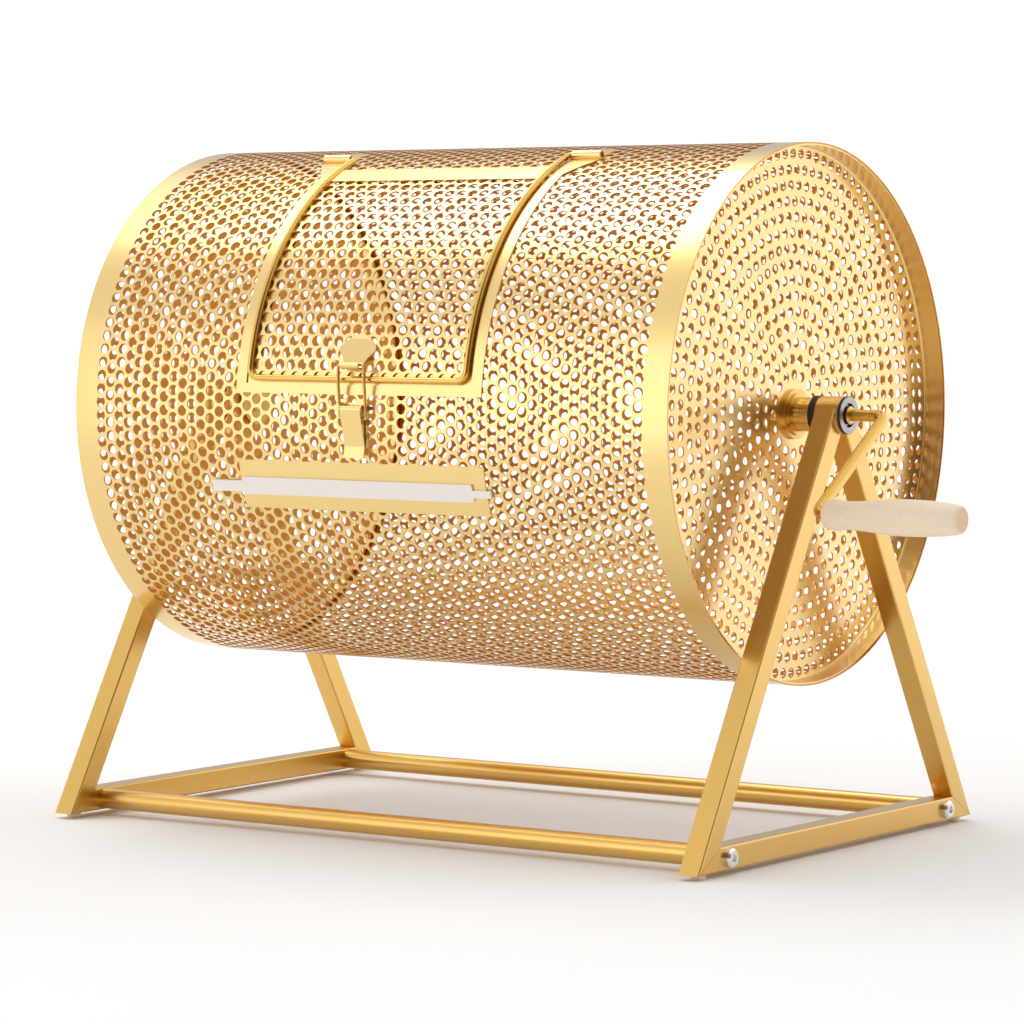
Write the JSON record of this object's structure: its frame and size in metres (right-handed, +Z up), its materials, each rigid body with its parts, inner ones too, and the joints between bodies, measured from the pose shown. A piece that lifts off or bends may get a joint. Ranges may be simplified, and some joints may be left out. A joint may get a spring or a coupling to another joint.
{
  "type": "raffle drum",
  "caption": "Hand-cranked raffle drum: a perforated cylinder with a hinged, latched door, turning on bearings in an A-frame stand.",
  "frame": {"origin": "on the floor, under the middle of the whole object's box", "axes": "+X along the drum's axle towards the crank, -Y towards the door side, +Z up"},
  "size_m": [0.563, 0.3074, 0.3901],
  "materials": {
    "brass_plate": "satin",
    "perforated_brass": "satin",
    "steel": "satin",
    "bearing_black": "satin",
    "seal_rubber": "matte",
    "bolt_steel": "gloss",
    "foot_plastic": "gloss",
    "wood": "satin",
    "white_plastic": "gloss",
    "insert_plastic": "matte"
  },
  "bodies": {
    "stand": {"left_front_leg": "brass_plate", "right_front_leg": "brass_plate", "left_rear_leg": "brass_plate", "right_rear_leg": "brass_plate", "left_base_rail": "brass_plate", "right_base_rail": "brass_plate", "front_cross_tube": "brass_plate", "rear_cross_tube": "brass_plate", "cross_tube_inserts": "insert_plastic", "frame_bolts": "bolt_steel", "feet": "foot_plastic", "left_bearing_housing": "brass_plate", "right_bearing_housing": "brass_plate", "left_inner_bearing_outer_ring": "bearing_black", "right_inner_bearing_outer_ring": "bearing_black", "left_outer_bearing_outer_ring": "bearing_black", "right_outer_bearing_outer_ring": "bearing_black", "left_bearing_seal": "seal_rubber", "right_bearing_seal": "seal_rubber", "left_bearing_shield": "steel", "right_bearing_shield": "steel"},
    "drum": {"drum_shell": "perforated_brass", "left_end_disc": "perforated_brass", "right_end_disc": "perforated_brass", "left_hub_flange": "brass_plate", "right_hub_flange": "brass_plate", "left_hub_sleeve": "brass_plate", "right_hub_sleeve": "brass_plate", "left_hub_backing_washer": "brass_plate", "right_hub_backing_washer": "brass_plate", "left_axle": "brass_plate", "right_axle": "brass_plate", "left_inner_bearing_inner_ring": "steel", "right_inner_bearing_inner_ring": "steel", "left_outer_bearing_inner_ring": "steel", "right_outer_bearing_inner_ring": "steel", "left_bearing_spacer": "steel", "right_bearing_spacer": "steel", "window_surround": "brass_plate", "left_hinge_strap": "brass_plate", "right_hinge_strap": "brass_plate", "latch_base": "brass_plate", "latch_pin": "brass_plate", "front_plate": "brass_plate", "cover_strip": "white_plastic", "crank_rod": "brass_plate", "grip_retaining_washer": "steel", "left_bearing_balls": "steel", "right_bearing_balls": "steel"},
    "door": {"door_rim_rod": "brass_plate", "door_panel": "perforated_brass", "door_top_rail": "brass_plate", "keeper_plate": "brass_plate"},
    "latch_lever": {"latch_lever": "brass_plate"},
    "latch_bail": {"latch_bail": "brass_plate"},
    "grip": {"grip": "wood", "grip_end_plug": "wood"}
  },
  "joints": [
    {"name": "drum_spin", "type": "hinge", "parent": "stand", "child": "drum", "pos_m": [0, 0.00373, 0.2402], "axis": [1, 0, 0], "continuous": true},
    {"name": "grip_spin", "type": "hinge", "parent": "drum", "child": "grip", "pos_m": [0.2405, -0.0703, 0.19026], "axis": [1, 0, 0], "continuous": true},
    {"name": "door_hinge", "type": "hinge", "parent": "drum", "child": "door", "pos_m": [-0.0545, -0.04705, 0.3836], "axis": [-1, 0, 0], "range_deg": [0, 150]},
    {"name": "lever_hinge", "type": "hinge", "parent": "drum", "child": "latch_lever", "pos_m": [-0.0545, -0.15077, 0.2434], "axis": [-1, 0, 0], "range_deg": [0, 90]},
    {"name": "bail_hinge", "type": "hinge", "parent": "latch_lever", "child": "latch_bail", "pos_m": [-0.0545, -0.14957, 0.2384], "axis": [-1, 0, 0], "range_deg": [-76.5, 0]}
  ],
  "couplings": [
    {"joint": "bail_hinge", "follows": "lever_hinge", "ratio": -0.85}
  ]
}
